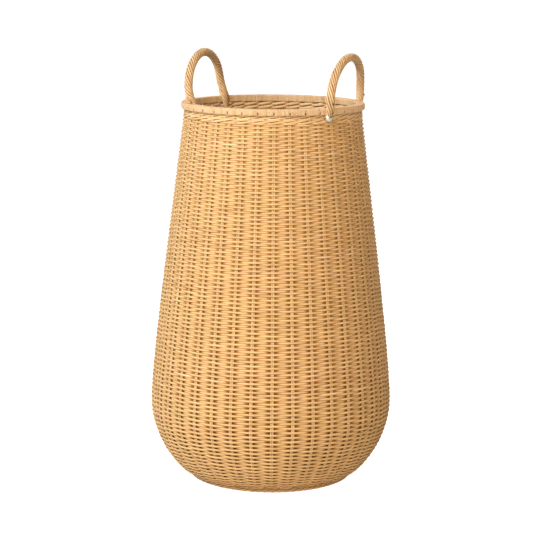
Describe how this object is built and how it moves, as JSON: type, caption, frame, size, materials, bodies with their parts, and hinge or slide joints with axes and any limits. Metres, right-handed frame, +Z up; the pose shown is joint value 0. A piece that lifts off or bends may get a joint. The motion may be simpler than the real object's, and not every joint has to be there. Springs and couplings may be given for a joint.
{
  "type": "laundry basket",
  "caption": "Tall round woven rattan laundry basket, pear-shaped on a narrow foot, with a lapped rim and roped bow handles on opposite sides of its open mouth.",
  "frame": {"origin": "on the floor, in the middle of the round foot", "axes": "+Z up through the mouth; the handles stand at +X and -X; +Y is the basket's rear in the picture's view, turned about Z"},
  "size_m": [0.4248, 0.4252, 0.75],
  "materials": {
    "woven_rattan": "peeled round rattan core, satin, honey",
    "stake_rattan": "peeled round rattan core, satin, pale honey",
    "border_rattan": "peeled round rattan core, satin, honey",
    "hoop_rattan": "peeled rattan, satin",
    "lapping_cane": "cane skin, low gloss, honey",
    "roping_cane": "cane strands, low gloss, honey",
    "stud_metal": "polished domed stud",
    "brad_metal": "dark small nail head"
  },
  "bodies": {
    "root": {"stake_pair_01": "stake_rattan", "stake_pair_02": "stake_rattan", "stake_pair_03": "stake_rattan", "stake_pair_04": "stake_rattan", "stake_pair_05": "stake_rattan", "stake_pair_06": "stake_rattan", "stake_pair_07": "stake_rattan", "stake_pair_08": "stake_rattan", "stake_pair_09": "stake_rattan", "stake_pair_10": "stake_rattan", "stake_pair_11": "stake_rattan", "stake_pair_12": "stake_rattan", "stake_pair_13": "stake_rattan", "stake_pair_14": "stake_rattan", "stake_pair_15": "stake_rattan", "stake_pair_16": "stake_rattan", "stake_pair_17": "stake_rattan", "stake_pair_18": "stake_rattan", "stake_pair_19": "stake_rattan", "stake_pair_20": "stake_rattan", "stake_pair_21": "stake_rattan", "stake_pair_22": "stake_rattan", "stake_pair_23": "stake_rattan", "stake_pair_24": "stake_rattan", "stake_pair_25": "stake_rattan", "stake_pair_26": "stake_rattan", "stake_pair_27": "stake_rattan", "stake_pair_28": "stake_rattan", "stake_pair_29": "stake_rattan", "stake_pair_30": "stake_rattan", "stake_pair_31": "stake_rattan", "stake_pair_32": "stake_rattan", "stake_pair_33": "stake_rattan", "stake_pair_34": "stake_rattan", "stake_pair_35": "stake_rattan", "stake_pair_36": "stake_rattan", "stake_pair_37": "stake_rattan", "base_sticks": "stake_rattan", "base_weave": "woven_rattan", "foot_border": "border_rattan", "upsett_wale": "woven_rattan", "side_weave": "woven_rattan", "top_wale": "woven_rattan", "rim_outer_hoop": "hoop_rattan", "rim_inner_hoop": "hoop_rattan", "rim_lapping": "lapping_cane", "handle_bow_right": "hoop_rattan", "handle_bow_left": "hoop_rattan", "handle_roping_right": "roping_cane", "handle_roping_left": "roping_cane", "stud_right_rear": "stud_metal", "stud_right_front": "stud_metal", "brad_right_rear": "brad_metal", "brad_right_front": "brad_metal", "brad_left_rear": "brad_metal", "brad_left_front": "brad_metal"}
  },
  "joints": []
}
